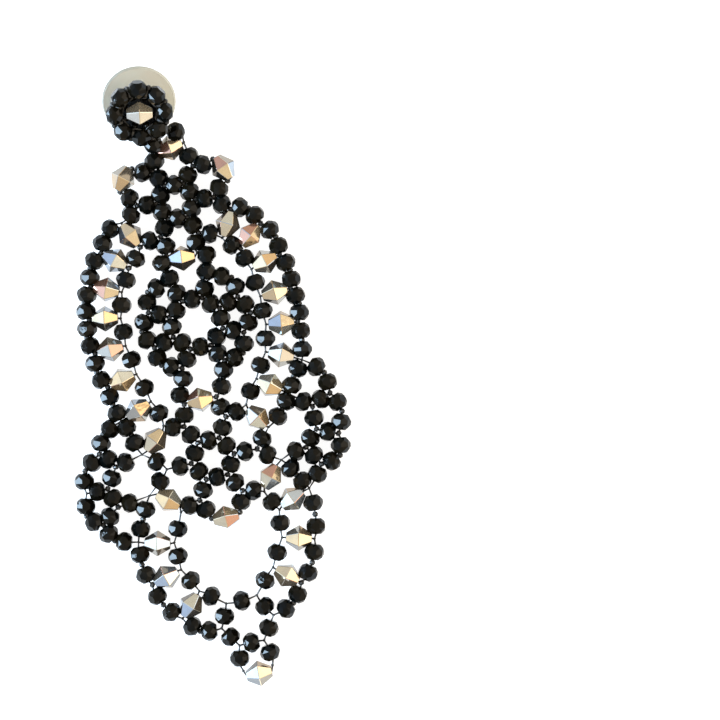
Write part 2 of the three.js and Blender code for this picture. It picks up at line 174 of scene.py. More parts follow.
# %% Chart the medallion
def weave_medallion():
    hub = MEDALLION
    units = 8
    step = 360 / units
    for k in range(units):
        angle = hub["turn"] - k * step
        place(f"medallion_c{k}", "medallion", *polar(hub, hub["centre"], angle))
        place(f"medallion_r{k}", "medallion", *polar(hub, hub["radial"], angle - step / 2))
    for side, stone, k in (("upper", "stone_upper_3", 0), ("lower", "stone_lower_0", 4)):
        for hand in ("left", "right"):
            for i, (x, y) in enumerate(ROUTES[f"link_{side}_{hand}"]):
                place(f"link_{side}_{hand}_{i}", "medallion", x, y)
        first, last = ("left", "right") if k == 0 else ("right", "left")
        before = (k + units - 1) % units
        rings.append([f"medallion_c{k}", f"medallion_r{before}", f"link_{side}_{first}_0",
                      f"link_{side}_{first}_1", stone, f"link_{side}_{last}_1",
                      f"link_{side}_{last}_0", f"medallion_r{k}"])
    for k in (1, 2, 3, 5, 6, 7):
        angle = hub["turn"] - k * step
        place(f"medallion_a{k}", "medallion", *polar(hub, hub["outer"], angle + hub["split"]))
        place(f"medallion_b{k}", "medallion", *polar(hub, hub["outer"], angle - hub["split"]))
        rings.append([f"medallion_c{k}", f"medallion_r{k - 1}", f"medallion_a{k}", f"medallion_b{k}",
                      f"medallion_r{k}"])


# %% [markdown]
# Ladders, wings and the point
#
# Garlands and swags are ladders: the stones are rungs, one bead joins them on the inner side and
# two on the outer. A wing grows out of one outer pair of the garland and comes back to the swag.

# %% Chart a ladder
def weave_ladder(field, rungs, outward):
    for k in range(len(rungs) - 1):
        start = beads[rungs[k]].at
        stop = beads[rungs[k + 1]].at
        along = (stop - start).normalized()
        out = Vector((along.y, -along.x, 0)) * outward
        middle = start.lerp(stop, 0.5)
        inner = middle - out * LADDER["inner"]
        place(f"{field}_i{k}", field, inner.x, inner.y)
        for i, forward in ((2 * k, -LADDER["step"]), (2 * k + 1, LADDER["step"])):
            spot = middle + out * LADDER["outer"] + along * forward
            place(f"{field}_o{i}", field, spot.x, spot.y)
        rings.append([rungs[k], f"{field}_i{k}", rungs[k + 1],
                      f"{field}_o{2 * k + 1}", f"{field}_o{2 * k}"])


def weave_string(field, top, bottom, outward):
    stones = [place(f"stone_{field}_{i + 1}", "stone", x, y) for i, (x, y) in enumerate(ROUTES[field])]
    weave_ladder(field, [top, *stones, bottom], outward)


# %% Chart the point, the wings and the neck
def weave_point():
    for i, (x, y) in enumerate(ROUTES["point"]):
        place(f"point_{i}", "point", x, y)
    place("stone_tip", "stone", *ROUTES["tip"][0])
    rings.append(["point_0", "point_2", "point_1", "point_5", "point_4", "point_3"])
    rings.append(["point_4", "point_6", "stone_tip", "point_7"])


def weave_wing(hand, garland_pair):
    def w(*numbers):
        return [f"wing_{hand}_{i}" for i in numbers]

    for i, (x, y) in enumerate(ROUTES[f"wing_{hand}"]):
        place(f"wing_{hand}_{i}", f"wing_{hand}", x, y)
    upper, lower = (f"garland_{hand}_o{i}" for i in garland_pair)
    swag = [f"swag_{hand}_o1", f"swag_{hand}_o0"]
    if hand == "left":
        rings.extend([w(3, 2, 1, 0) + [lower, upper], w(1, 4, 5, 6, 7), w(6, 8, 9, 10, 11),
                      w(10, 12, 13) + swag + w(14)])
    else:
        rings.extend([w(0, 1, 2, 3) + [lower, upper], w(2, 4, 5, 6, 7), w(6, 8, 9, 10, 11),
                      w(10, 12) + swag + w(13)])


def weave_neck():
    for i, (x, y) in enumerate(ROUTES["neck"]):
        place(f"neck_{i}", "flower", x, y, LAYER + NECK_RISE)
    rings.append(["stone_upper_0", "neck_1", "neck_0"])


# %% [markdown]
# Drawing the thread tight
#
# Where two beads of a ring meet, their ends share a knot. The weave is settled as a weaver does it:
# each bead points from knot to knot, the thread draws it to the middle, and beads that crowd each
# other are eased apart. This is the same small relaxation as in the solids, with the same numbers.

# %% Tie and settle
KNOT_EXIT = 0.6
STONE_ROUNDNESS = 0.95
BEAD_ROUNDNESS = 0.83
THREAD_PULL = 0.06
BERTH = 0.8
HOME_VOTE = 1.5
STONE_GIVE, BEAD_GIVE = 0.3, 0.7
NEIGHBOURS = 8
PASSES = 24


def signed_area(ring):
    total = 0.0
    for name, following in zip(ring, ring[1:] + ring[:1]):
        a, b = beads[name].at, beads[following].at
        total += a.x * b.y - b.x * a.y
    return total


def share_knot(first, first_end, second, second_end):
    held, other = first.ends[first_end], second.ends[second_end]
    if held is not None and held is other:
        return
    members = list(held.members if held else [(first, first_end)])
    members += other.members if other else [(second, second_end)]
    for old in (held, other):
        if old in knots:
            knots.remove(old)
    knot = Knot(members)
    for bead, end in members:
        bead.ends[end] = knot
    knots.append(knot)


def tie_knots():
    used = set()
    turned_rings = []
    for ring in rings:
        turned = ring[::-1] if signed_area(ring) < 0 else ring
        passes = []
        for name, following in zip(turned, turned[1:] + turned[:1]):
            leaving = 0 if name in used else 1
            arriving = 1 if following in used else 0
            share_knot(beads[name], leaving, beads[following], arriving)
            passes.append((beads[name], leaving))
        used.update(turned)
        turned_rings.append(passes)
    return turned_rings


def choose_owners():
    for knot in knots:
        counts = {}
        for bead, _ in knot.members:
            if not bead.stone:
                counts[bead.field] = counts.get(bead.field, 0) + 1
        home = next((bead.home for bead, _ in knot.members if bead.home in counts), None)
        if home:
            counts[home] += HOME_VOTE
        knot.owner = max(counts, key=counts.get)


def settle_knots():
    for knot in knots:
        total = Vector((0, 0, 0))
        for bead, end in knot.members:
            total += bead.tip(end, -KNOT_EXIT if bead.stone else 0) if bead.along else bead.at
        knot.at = total / len(knot.members)
    for bead in beads.values():
        bead.along = (bead.ends[1].at - bead.ends[0].at).normalized()


def draw_tight():
    for bead in beads.values():
        if not bead.stone:
            ends = []
            for side, knot in enumerate(bead.ends):
                shift = 0 if knot.owner == bead.field else (-BERTH if side else BERTH)
                ends.append(knot.at + bead.along * shift)
            bead.at = bead.at.lerp(ends[0].lerp(ends[1], 0.5), THREAD_PULL)


def reach(bead):
    return STONE_DIAMETER * STONE_ROUNDNESS / 2 if bead.stone else BEAD_DIAMETER * BEAD_ROUNDNESS / 2


def ease_apart(pairs):
    for a, b in pairs:
        apart = b.at - a.at
        short = reach(a) + reach(b) - apart.length
        if short > 0:
            give_a = STONE_GIVE if a.stone else BEAD_GIVE
            give_b = STONE_GIVE if b.stone else BEAD_GIVE
            apart.z = 0
            apart = apart.normalized() * (short / (give_a + give_b))
            a.at = a.at - apart * give_a
            b.at = b.at + apart * give_b


# %% Weave it all
weave_rosette("upper")
weave_rosette("lower")
weave_medallion()
weave_point()
weave_string("garland_left", "stone_upper_4", "stone_lower_5", 1)
weave_string("garland_right", "stone_upper_2", "stone_lower_1", -1)
weave_string("swag_left", "stone_lower_4", "point_0", 1)
weave_string("swag_right", "stone_lower_2", "point_1", -1)
weave_wing("left", (12, 13))
weave_wing("right", (10, 11))
weave_neck()
loops = tie_knots()
choose_owners()
order = list(beads.values())
near = [(a, b) for i, a in enumerate(order) for b in order[i + 1:]
        if (a.at - b.at).length < NEIGHBOURS]
for _ in range(PASSES):
    settle_knots()
    draw_tight()
    ease_apart(near)
settle_knots()
low, high = (Vector(corner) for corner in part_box("stone_tip"))
origin = (low + high) / 2 / MM - beads["stone_tip"].at
print("beads charted:", len(beads), "knots:", len(knots))
for name in ("stone_upper_0", "stone_garland_left_3", "stone_swag_right_2"):
    low, high = (Vector(corner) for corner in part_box(name))
    print("off by", (((low + high) / 2 / MM) - beads[name].at - origin).length, "mm at", name)


# %% [markdown]
# Camera and table
#
# The earring lies on white card and is looked at from straight above, a little turned. A long lens
# far away keeps the flat net flat. The frame is wider than the earring, which sits on its left.

# %% Camera
FRAME_WIDTH = 114.3 * MM
CAMERA_DISTANCE = 350 * MM
AIM = (Vector((24.05, -11.24, LAYER)) + Vector((origin.x, origin.y, 0))) * MM
VIEW_TURN = math.radians(-12.2)
SENSOR = 36

lens = bpy.data.cameras.new("camera")
lens.sensor_width = SENSOR
lens.lens = SENSOR * CAMERA_DISTANCE / FRAME_WIDTH
lens.clip_start = 0.01
lens.clip_end = 20
camera = bpy.data.objects.new("camera", lens)
bpy.context.scene.collection.objects.link(camera)
camera.location = AIM + Vector((0, 0, CAMERA_DISTANCE))
camera.rotation_euler = (0, 0, VIEW_TURN)
bpy.context.scene.camera = camera
bpy.context.scene.view_settings.view_transform = "Standard"
print("lens", round(lens.lens, 1), "mm")

# %% [markdown]
# Modelling helpers
#
# Everything new is made with the same tools as by hand. Each primitive starts from an empty
# selection, because an operator acts on all that is selected.


# %% Helpers for modelling
END_FACE = 0.9


def deselect():
    if bpy.context.object and bpy.context.object.mode != "OBJECT":
        bpy.ops.object.mode_set(mode="OBJECT")
    bpy.ops.object.select_all(action="DESELECT")


def edit(piece):
    deselect()
    piece.select_set(True)
    bpy.context.view_layer.objects.active = piece
    bpy.ops.object.mode_set(mode="EDIT")
    bpy.ops.mesh.select_mode(type="FACE")
    bpy.ops.mesh.select_all(action="DESELECT")


def pick_faces(piece, wanted):
    bpy.ops.mesh.select_all(action="DESELECT")
    bpy.ops.object.mode_set(mode="OBJECT")
    for face in piece.data.polygons:
        face.select = wanted(face)
    bpy.ops.object.mode_set(mode="EDIT")


def pick_end(piece, end):
    pick_faces(piece, lambda face: face.normal.z * end > END_FACE)


def draw_out(end, height, scale, turn=0):
    bpy.ops.mesh.extrude_region_move(TRANSFORM_OT_translate={"value": (0, 0, end * height)})
    bpy.ops.transform.resize(value=(scale, scale, 1), center_override=(0, 0, 0))
    if turn:
        bpy.ops.transform.rotate(value=math.radians(turn), orient_axis="Z", center_override=(0, 0, 0))


def finish_piece(piece, name):
    bpy.ops.object.mode_set(mode="OBJECT")
    piece.name = name
    piece.data.name = name
    return piece


def copy_at(pattern, matrix, name):
    twin = pattern.copy()
    twin.data = pattern.data.copy()
    twin.data.transform(matrix)
    twin.name = name
    bpy.context.scene.collection.objects.link(twin)
    return twin


def join_pieces(pieces, name):
    deselect()
    for piece in pieces:
        piece.select_set(True)
    bpy.context.view_layer.objects.active = pieces[0]
    if len(pieces) > 1:
        bpy.ops.object.join()
    joined = bpy.context.view_layer.objects.active
    joined.name = name
    joined.data.name = name
    deselect()
    return joined


# %% [markdown]
# The black rondelle
#
# A faceted rondelle is cut in rows of small flats: a belt round the waist, two rows that lean in on
# each side, and a flat table where the thread goes in. One is modelled from a short cylinder. Each
# end is drawn out twice and turned half a flat each time, so the rows lock together like tiles.
# There are about two hundred of these beads, so the hole, which thread and knots hide, isn't cut.

# %% Model one rondelle
BEAD_SIDES = 8
BEAD_BELT = 0.55
BEAD_SHOULDER = 0.86
BEAD_TABLE = 0.56
BELT_FACE = 0.1


def model_rondelle():
    radius = BEAD_DIAMETER / 2 * MM
    deselect()
    bpy.ops.mesh.primitive_cylinder_add(vertices=BEAD_SIDES, radius=radius, depth=BEAD_BELT * MM)
    piece = bpy.context.object
    half_turn = 180 / BEAD_SIDES
    shoulder = (BEAD_LENGTH - BEAD_BELT) / 4 * MM
    edit(piece)
    for end in (1, -1):
        pick_end(piece, end)
        draw_out(end, shoulder, BEAD_SHOULDER, half_turn)
        draw_out(end, shoulder, BEAD_TABLE / BEAD_SHOULDER, half_turn)
    pick_faces(piece, lambda face: BELT_FACE < abs(face.normal.z) < END_FACE)
    bpy.ops.mesh.quads_convert_to_tris(quad_method="BEAUTY")
    return finish_piece(piece, "rondelle")


rondelle = model_rondelle()
rondelle_size = [round(length / MM, 2) for length in rondelle.dimensions]
print("rondelle:", len(rondelle.data.polygons), "faces", rondelle_size)

# %% [markdown]
# The silver bicone
#
# A bicone is two six-sided cones base to base, strung from point to point. It starts as a low
# six-sided prism whose ends are drawn out to small tables. The hole is sunk from each table and
# stops short of the middle, where no eye reaches. A narrow bevel breaks the edges, because cut glass
# never has a perfectly sharp one, and that hairline is what sparkles. Each face then notes which
# flat it belongs to, by its level and its sector.

# %% Model one bicone
STONE_SIDES = 6
STONE_TABLE = 1.7
STONE_HOLE = 1.0
STONE_HALF_BELT = 0.06
STONE_HOLE_DEPTH = 0.8
STONE_EDGE = 0.05
FLAT_LEVEL = 0.15
SECTORS = 2 * STONE_SIDES
FLATS = 3 * SECTORS


def model_bicone():
    deselect()
    half = STONE_LENGTH / 2 * MM
    radius = STONE_DIAMETER / 2 * MM
    belt = STONE_HALF_BELT * MM
    bpy.ops.mesh.primitive_cylinder_add(vertices=STONE_SIDES, radius=radius, depth=2 * belt)
    piece = bpy.context.object
    edit(piece)
    for end in (1, -1):
        pick_end(piece, end)
        draw_out(end, half - belt, STONE_TABLE / STONE_DIAMETER)
        bpy.ops.mesh.inset(thickness=(STONE_TABLE - STONE_HOLE) / 2 * MM)
        inward = (0, 0, -end * half * STONE_HOLE_DEPTH)
        bpy.ops.mesh.extrude_region_move(TRANSFORM_OT_translate={"value": inward})
    finish_piece(piece, "bicone")
    bevel = piece.modifiers.new("edge", "BEVEL")
    bevel.width = STONE_EDGE * MM
    bevel.segments = 1
    bevel.limit_method = "ANGLE"
    bpy.ops.object.modifier_apply(modifier="edge")
    return piece


def number_flats(piece):
    numbers = piece.data.attributes.new("flat", "INT", "FACE")
    for face in piece.data.polygons:
        x, y, z = face.center
        level = 1 + (z > FLAT_LEVEL * MM) - (z < -FLAT_LEVEL * MM)
        sector = round(math.atan2(y, x) / (math.pi / STONE_SIDES)) % SECTORS
        numbers.data[face.index].value = level * SECTORS + sector


bicone = model_bicone()
number_flats(bicone)
bicone_size = [round(length / MM, 2) for length in bicone.dimensions]
print("bicone:", len(bicone.data.polygons), "faces", bicone_size)

# %% [markdown]
# Shader helpers
#
# A finish is a sum of small rules: where it is smudged, where it is tinted. Written as plain
# arithmetic on sockets, such a rule stays readable. One class carries a socket and adds a Math
# node for each operator. Another holds the nodes, and has one method that adds any of them.


# %% Helpers for finishes
MIX_SHARE, MIX_FIRST, MIX_SECOND, MIX_RESULT = 0, 6, 7, 2


class Wire:
    def __init__(self, nodes, socket):
        self.nodes = nodes
        self.socket = socket

    def math(self, operation, other):
        return self.nodes.add("ShaderNodeMath", {"operation": operation}, {0: self, 1: other})

    def __add__(self, other):
        return self.math("ADD", other)

    __radd__ = __add__

    def __mul__(self, other):
        return self.math("MULTIPLY", other)

    __rmul__ = __mul__

    def __sub__(self, other):
        return self.math("SUBTRACT", other)

    def __rsub__(self, other):
        return self.nodes.add("ShaderNodeMath", {"operation": "SUBTRACT"}, {0: other, 1: self})

    def ramp(self, low, high, kind):
        inputs = {"Value": self, "From Min": low, "From Max": high}
        return self.nodes.add("ShaderNodeMapRange", {"interpolation_type": kind}, inputs)

    def smooth(self, low, high):
        return self.ramp(low, high, "SMOOTHSTEP")


class Nodes:
    def __init__(self, tree):
        self.tree = tree

    def add(self, kind, settings=None, inputs=None, output=0):
        node = self.tree.nodes.new(kind)
        for key, value in (settings or {}).items():
            if key == "stops":
                self.set_stops(node.color_ramp, value)
            else:
                setattr(node, key, value)
        for key, value in (inputs or {}).items():
            self.feed(node.inputs[key], value)
        return Wire(self, node.outputs[output])

    def feed(self, socket, value):
        if isinstance(value, Wire):
            self.tree.links.new(value.socket, socket)
        else:
            socket.default_value = value

    def set_stops(self, ramp, stops):
        while len(ramp.elements) < len(stops):
            ramp.elements.new(0.5)
        for element, (position, colour) in zip(ramp.elements, stops):
            element.position = position
            element.color = colour


class Finish(Nodes):
    def __init__(self, name):
        self.material = bpy.data.materials.new(name)
        self.material.use_nodes = True
        super().__init__(self.material.node_tree)
        self.shader = self.tree.nodes["Principled BSDF"]

    def place(self):
        return self.add("ShaderNodeTexCoord", output="Object")

    def noise(self, scale, detail=2.0):
        inputs = {"Vector": self.place(), "Scale": scale, "Detail": detail}
        return self.add("ShaderNodeTexNoise", {}, inputs)

    def mix(self, share, first, second):
        inputs = {MIX_SHARE: share, MIX_FIRST: first, MIX_SECOND: second}
        return self.add("ShaderNodeMix", {"data_type": "RGBA"}, inputs, MIX_RESULT)

    def bump(self, height, strength, distance):
        inputs = {"Height": height, "Strength": strength, "Distance": distance * MM}
        return self.add("ShaderNodeBump", {}, inputs)

    def set(self, **values):
        for name, value in values.items():
            self.feed(self.shader.inputs[name.replace("_", " ")], value)


def rgb(red, green, blue):
    return (red, green, blue, 1.0)


# %% [markdown]
# Black glass
#
# Jet glass is opaque and almost without colour, but its polish is never even: fingers leave soft
# smudges, and cheap pressing leaves it faintly wavy. A slow noise tints it from green-black to
# brown-black, a finer one dulls it in patches, and a low bump makes the reflections swim a little.

# %% Finish for the black glass
GREEN_BLACK = rgb(0.0008, 0.0012, 0.0012)
BROWN_BLACK = rgb(0.0035, 0.0026, 0.0013)
glass = Finish("jet_glass")
cast = glass.noise(330.0)
smudge = glass.noise(900.0, 3.0).smooth(0.45, 0.75)
ripple = glass.noise(1500.0, 1.0)
glass.set(
    Base_Color=glass.mix(cast.smooth(0.35, 0.65), GREEN_BLACK, BROWN_BLACK),
    Roughness=0.03 + smudge * 0.1,
    Normal=glass.bump(ripple, 0.12, 0.05),
    IOR=1.5,
    Specular_IOR_Level=0.18,
)
print("finish:", glass.material.name, len(glass.tree.nodes), "nodes")

# %% [markdown]
# Silvered crystal
#
# The bicones are clear crystal, half coated with metal. Each flat of a stone gets its own tone,
# drawn at random and kept on the mesh as a colour attribute, and a little noise keeps a flat from
# being one even colour. The palette is painted light and shade: flats that face up are painted
# light, champagne, gold, rose, white or ice, and flats that face sideways or down are painted dark,
# taupe, slate or cool grey. Insets and bevels may list the same faces in another order each time
# the script runs. So a flat's tone follows its place on the stone, not its number.

# %% Finish for the silver stones
# Light tones, painted on flats that face up as painted light.
LIT_FLAT_TONES = [
    (rgb(0.86, 0.72, 0.50), 6), (rgb(0.80, 0.57, 0.32), 3), (rgb(0.72, 0.40, 0.30), 3),
    (rgb(0.84, 0.86, 0.80), 4), (rgb(0.56, 0.66, 0.80), 3), (rgb(0.48, 0.44, 0.38), 2),
]
# Dark tones, painted on flats that face sideways or down as painted shade.
SHADED_FLAT_TONES = [
    (rgb(0.30, 0.26, 0.21), 5), (rgb(0.22, 0.23, 0.24), 4), (rgb(0.44, 0.52, 0.62), 3),
    (rgb(0.50, 0.38, 0.26), 2), (rgb(0.13, 0.12, 0.11), 3), (rgb(0.58, 0.58, 0.54), 2),
]
# The flower stone's upward flats are painted light in their own, lighter tones.
HEAD_LIT_FLAT_TONES = [(rgb(0.92, 0.80, 0.60), 3), (rgb(0.88, 0.84, 0.74), 2)]
# A flat whose normal rises above this is painted lit; a lower one is painted in shade.
LIT_FLAT_FACING = 0.62
silver = Finish("silvered_crystal")
tone = silver.add("ShaderNodeAttribute", {"attribute_name": "tone"}, output="Color")
haze = silver.noise(700.0, 3.0)
silver.set(
    Base_Color=silver.mix(haze.smooth(0.3, 0.8) * 0.25, tone, rgb(0.40, 0.36, 0.32)),
    Metallic=0.8,
    Roughness=0.06 + haze.smooth(0.5, 0.8) * 0.14,
    Normal=silver.bump(silver.noise(1400.0, 1.0), 0.15, 0.05),
)
print("finish:", silver.material.name, len(silver.tree.nodes), "nodes")


# %% Tone of each flat, with painted light and shade by the way it faces
tone_dice = random.Random(7)


def tone_and_shade_facets(piece, lit_tones=LIT_FLAT_TONES):
    layer = piece.data.color_attributes.new("tone", "FLOAT_COLOR", "CORNER")
    numbers = [entry.value for entry in piece.data.attributes["flat"].data]
    draws = [tone_dice.random() for _ in range(FLATS)]
    for face in piece.data.polygons:
        # Painted light and shade: a flat that faces up takes a light tone, one that faces sideways or
        # down a dark one.
        lit_or_shaded_tones = lit_tones if face.normal.z > LIT_FLAT_FACING else SHADED_FLAT_TONES
        palette = [colour for colour, share in lit_or_shaded_tones for _ in range(share)]
        colour = palette[int(draws[numbers[face.index]] * len(palette))]
        for corner in face.loop_indices:
            layer.data[corner].color = colour
    piece.data.attributes.remove(piece.data.attributes["flat"])


# %% [markdown]
# Stringing the beads
#
# A bead's own axis is its hole. A copy is turned about it, so no two lie alike, then tipped to
# point from knot to knot and carried to its place. All beads of one string become one piece, and
# that piece stands for the plain solid of the string.


# %% String the black beads
def frame_of(at, along, spin):
    upright = Matrix.Rotation(math.radians(-90), 4, "X")
    turned = Matrix.Rotation(math.radians(spin), 4, "Y")
    tipped = Vector((0, 1, 0)).rotation_difference(along).to_matrix().to_4x4()
    return Matrix.Translation((at + origin) * MM) @ tipped @ turned @ upright


def dress(piece, finish, slot_name, *nodes):
    piece.data.materials.clear()
    piece.data.materials.append(finish.material)
    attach(piece, "root")
    if nodes:
        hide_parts(*nodes)
    return piece


# %% Frame of the flower head
HEAD_LEAN = 26
LEAN_TOWARD = Vector((0.03, -1)).normalized()
DISC_DIAMETER, DISC_THICKNESS = 11.6, 1.0
PAD_GAP, PAD_THICKNESS, PAD_DIAMETER, PAD_CLEARANCE = 2.1, 1.0, 6.4, 0.3
PETALS, PETAL_RING, PETAL_TURN = 8, 7.8, -9
lean = math.radians(HEAD_LEAN)
head_up = Vector((LEAN_TOWARD.x * math.sin(lean), LEAN_TOWARD.y * math.sin(lean), math.cos(lean)))
head_turn = Vector((0, 0, 1)).rotation_difference(head_up)
disc_height = DISC_DIAMETER / 2 * math.sin(lean) + DISC_THICKNESS / 2 * math.cos(lean)
head_origin = Vector((-1.5, 36.2, disc_height))
pad_top = DISC_THICKNESS / 2 + PAD_GAP + PAD_THICKNESS
flower_height = pad_top + PAD_CLEARANCE + STONE_DIAMETER / 2


def head_point(radius, degrees, height):
    angle = math.radians(degrees)
    return head_turn @ Vector((radius * math.cos(angle), radius * math.sin(angle), height)) + head_origin


def head_direction(degrees):
    angle = math.radians(degrees)
    return head_turn @ Vector((math.cos(angle), math.sin(angle), 0))


def petal_angle(k):
    return PETAL_TURN + k * 360 / PETALS


print("flower head:", flower_height, "mm from the disc to the stone's middle")


# %% Black beads, one piece a string
FIELDS = ["flower", "rosette_upper", "medallion", "rosette_lower", "garland_left", "garland_right",
          "wing_left", "wing_right", "swag_left", "swag_right", "point"]
strings = {}
for field in FIELDS:
    copies = [copy_at(rondelle, frame_of(bead.at, bead.along, bead.spin), bead.name)
              for bead in beads.values() if bead.field == field]
    if field == "flower":
        for k in range(PETALS):
            spot = head_point(PETAL_RING / 2, petal_angle(k), flower_height)
            matrix = frame_of(spot, head_direction(petal_angle(k)), SPIN_START + k)
            copies.append(copy_at(rondelle, matrix, f"petal_{k}"))
    cut_beads = join_pieces(copies, f"{field}_cut_beads")
    strings[field] = dress(cut_beads, glass, "black_glass", f"{field}_beads")
print("strings:", {field: len(piece.data.polygons) for field, piece in strings.items()})

# %% Silver stones
HEAD_STONE_TURN = -10
stones = [(bead.name, frame_of(bead.at, bead.along, bead.spin))
          for bead in beads.values() if bead.stone]
flower_middle = head_point(0, 0, flower_height)
head_stone_frame = frame_of(flower_middle, head_direction(HEAD_STONE_TURN), SPIN_START)
stones.append(("flower_stone", head_stone_frame))
cut_stones = []
for name, matrix in stones:
    stone = copy_at(bicone, matrix, f"{name}_cut")
    # Flats facing up are painted lit, the rest are painted in shade.
    tone_and_shade_facets(stone, HEAD_LIT_FLAT_TONES if name == "flower_stone" else LIT_FLAT_TONES)
    cut_stones.append(dress(stone, silver, "silvered_glass", name))
for pattern in (rondelle, bicone):
    bpy.data.objects.remove(pattern)
print("stones:", len(stones))

# %% [markdown]
# Thread
#
# Nylon beading thread goes round every ring of the chart, in at one end of a bead and out at the
# other, so it only shows in the gaps. It is drawn as a thin curve, from each bead's tip by way of
# the knot to the next bead's tip, and made a mesh.

# %% Lay the thread
THREAD = 0.3
thread = Finish("nylon_thread")
thread.set(
    Base_Color=thread.mix(
        thread.noise(2500.0).smooth(0.4, 0.7), rgb(0.012, 0.011, 0.010), rgb(0.06, 0.055, 0.05)),
    Roughness=0.32 + thread.noise(3000.0) * 0.2,
)


def knot_middle(knot):
    tips = [bead.tip(end) for bead, end in knot.members]
    return sum(tips, Vector((0, 0, 0))) / len(tips)


def ring_path(loop):
    path = []
    for bead, leaving in loop:
        path += [bead.tip(1 - leaving), bead.tip(leaving), knot_middle(bead.ends[leaving])]
    return path


def lay_thread(paths, name):
    curve = bpy.data.curves.new(name, "CURVE")
    curve.dimensions = "3D"
    curve.bevel_depth = THREAD / 2 * MM
    curve.bevel_resolution = 1
    for path in paths:
        spline = curve.splines.new("POLY")
        spline.points.add(len(path) - 1)
        spline.use_cyclic_u = True
        for point, spot in zip(spline.points, path):
            point.co = (*((spot + origin) * MM), 1.0)
    piece = bpy.data.objects.new(name, curve)
    bpy.context.scene.collection.objects.link(piece)
    deselect()
    piece.select_set(True)
    bpy.context.view_layer.objects.active = piece
    bpy.ops.object.convert(target="MESH")
    return bpy.context.view_layer.objects.active


for field in FIELDS[1:]:
    paths = [ring_path(loop) for loop in loops
             if next(bead.field for bead, _ in loop if not bead.stone) == field]
    if paths:
        dress(lay_thread(paths, f"{field}_thread"), thread, "black_glass")
petal_start = PETAL_RING / 2 - BEAD_LENGTH / 2
petal_stop = PETAL_RING / 2 + BEAD_LENGTH / 2
petal_path = []
for k in range(PETALS):
    petal_path += [head_point(petal_start, petal_angle(k), flower_height),
                   head_point(petal_stop, petal_angle(k), flower_height),
                   head_point(petal_start, petal_angle(k + 0.5), flower_height)]
neck_paths = [ring_path(loop) for loop in loops if any(bead.name == "neck_0" for bead, _ in loop)]
dress(lay_thread([petal_path, *neck_paths], "flower_thread"), thread, "black_glass")
print("thread laid round", len(loops) + 1, "rings")

# %% [markdown]
# Knots
#
# Where the thread crosses between beads it is pulled through twice, and the turns heap up in a
# small dark lump at the mouths of the holes. Such a lump is three turns of thread side by side: a
# drum with a waist on each side of its middle turn. One is modelled, and a copy is set at every
# knot of the chart, along the line between the beads it holds. Where the beads stand well apart the
# turns aren't pulled together, and the lump is half the size. The petals of the flower are oversewn
# where they meet, so two more lumps sit in each gap between them.

# %% Tie the knots
KNOT_SIZE = 1.0
KNOT_REACH = 0.75
LOOSE_KNOT = 0.5
STITCHES = [(3.5, 1.3), (4.4, 0.95)]
KNOT_TURN = 0.24
KNOT_STEPS = [(3, 0.72), (3, 1.3), (2, 0.5)]
KNOT_SIDES = 8


def model_knot():
    deselect()
    bpy.ops.mesh.primitive_cylinder_add(
        vertices=KNOT_SIDES, radius=KNOT_SIZE / 2 * MM, depth=KNOT_TURN * MM)
    piece = bpy.context.object
    edit(piece)
    for end in (1, -1):
        pick_end(piece, end)
        for part, scale in KNOT_STEPS:
            draw_out(end, KNOT_TURN / part * MM, scale)
    return finish_piece(piece, "knot")


knot_pattern = model_knot()
wraps = []
for i, knot in enumerate(knots):
    first, second = (bead.tip(end) for bead, end in knot.members[:2])
    across = (first - second).normalized()
    middle = knot_middle(knot)
    tight = max((bead.tip(end) - middle).length for bead, end in knot.members) < KNOT_REACH
    size = Matrix.Scale(1 if tight else LOOSE_KNOT, 4)
    wraps.append(copy_at(knot_pattern, frame_of(middle, across, SPIN_STEP * i) @ size, f"knot_{i}"))
for k in range(PETALS):
    angle = petal_angle(k + 0.5)
    for i, (radius, size) in enumerate(STITCHES):
        spot = head_point(radius, angle, flower_height)
        matrix = frame_of(spot, head_direction(angle + 90), SPIN_STEP * k)
        wraps.append(copy_at(knot_pattern, matrix @ Matrix.Scale(size, 4), f"stitch_{k}_{i}"))
bpy.data.objects.remove(knot_pattern)
dress(join_pieces(wraps, "thread_knots"), thread, "black_glass")
print("knots tied:", len(wraps))

# %% [markdown]
# Inside the flower
#
# Between petals and stone it is simply dark. A near-black disc with a fine fibre grain lies on the
# pad and stands in for that dark: it is painted shade, a dark sheet in the hollow under the stone.
# A ring of small seed beads hides the stitches. The disc is a short drum whose top edge is rolled
# over, and a seed bead is a fat little ring.

# %% Shade disc and seed beads
SHADE_DISC_DIAMETER = PAD_DIAMETER + 1.2
SHADE_DISC_THICKNESS = 0.5
SHADE_DISC_ROLL, SHADE_DISC_RISE = 0.3, 0.1
SHADE_DISC_SLOPE, SHADE_DISC_DIP = 1.2, 0.12
SHADE_DISC_GAP = 0.02
SHADE_DISC_SIDES = 40
SEED_DIAMETER, SEED_LENGTH = 1.5, 1.0
SEED_STEPS, SEED_SIDES = 10, 6
SEED_RING = 2.65
SEED_DROP = 0.95


def head_frame(height):
    return Matrix.Translation((head_point(0, 0, height) + origin) * MM) @ head_turn.to_matrix().to_4x4()


def model_shade_disc():
    deselect()
    bpy.ops.mesh.primitive_cylinder_add(
        vertices=SHADE_DISC_SIDES, radius=SHADE_DISC_DIAMETER / 2 * MM, depth=SHADE_DISC_THICKNESS * MM)
    piece = bpy.context.object
    edit(piece)
    pick_end(piece, 1)
    bpy.ops.mesh.inset(thickness=SHADE_DISC_ROLL * MM)
    bpy.ops.mesh.extrude_region_move(TRANSFORM_OT_translate={"value": (0, 0, SHADE_DISC_RISE * MM)})
    bpy.ops.mesh.inset(thickness=SHADE_DISC_SLOPE * MM)
    bpy.ops.transform.translate(value=(0, 0, -SHADE_DISC_DIP * MM))
    return finish_piece(piece, "flower_shade_disc")


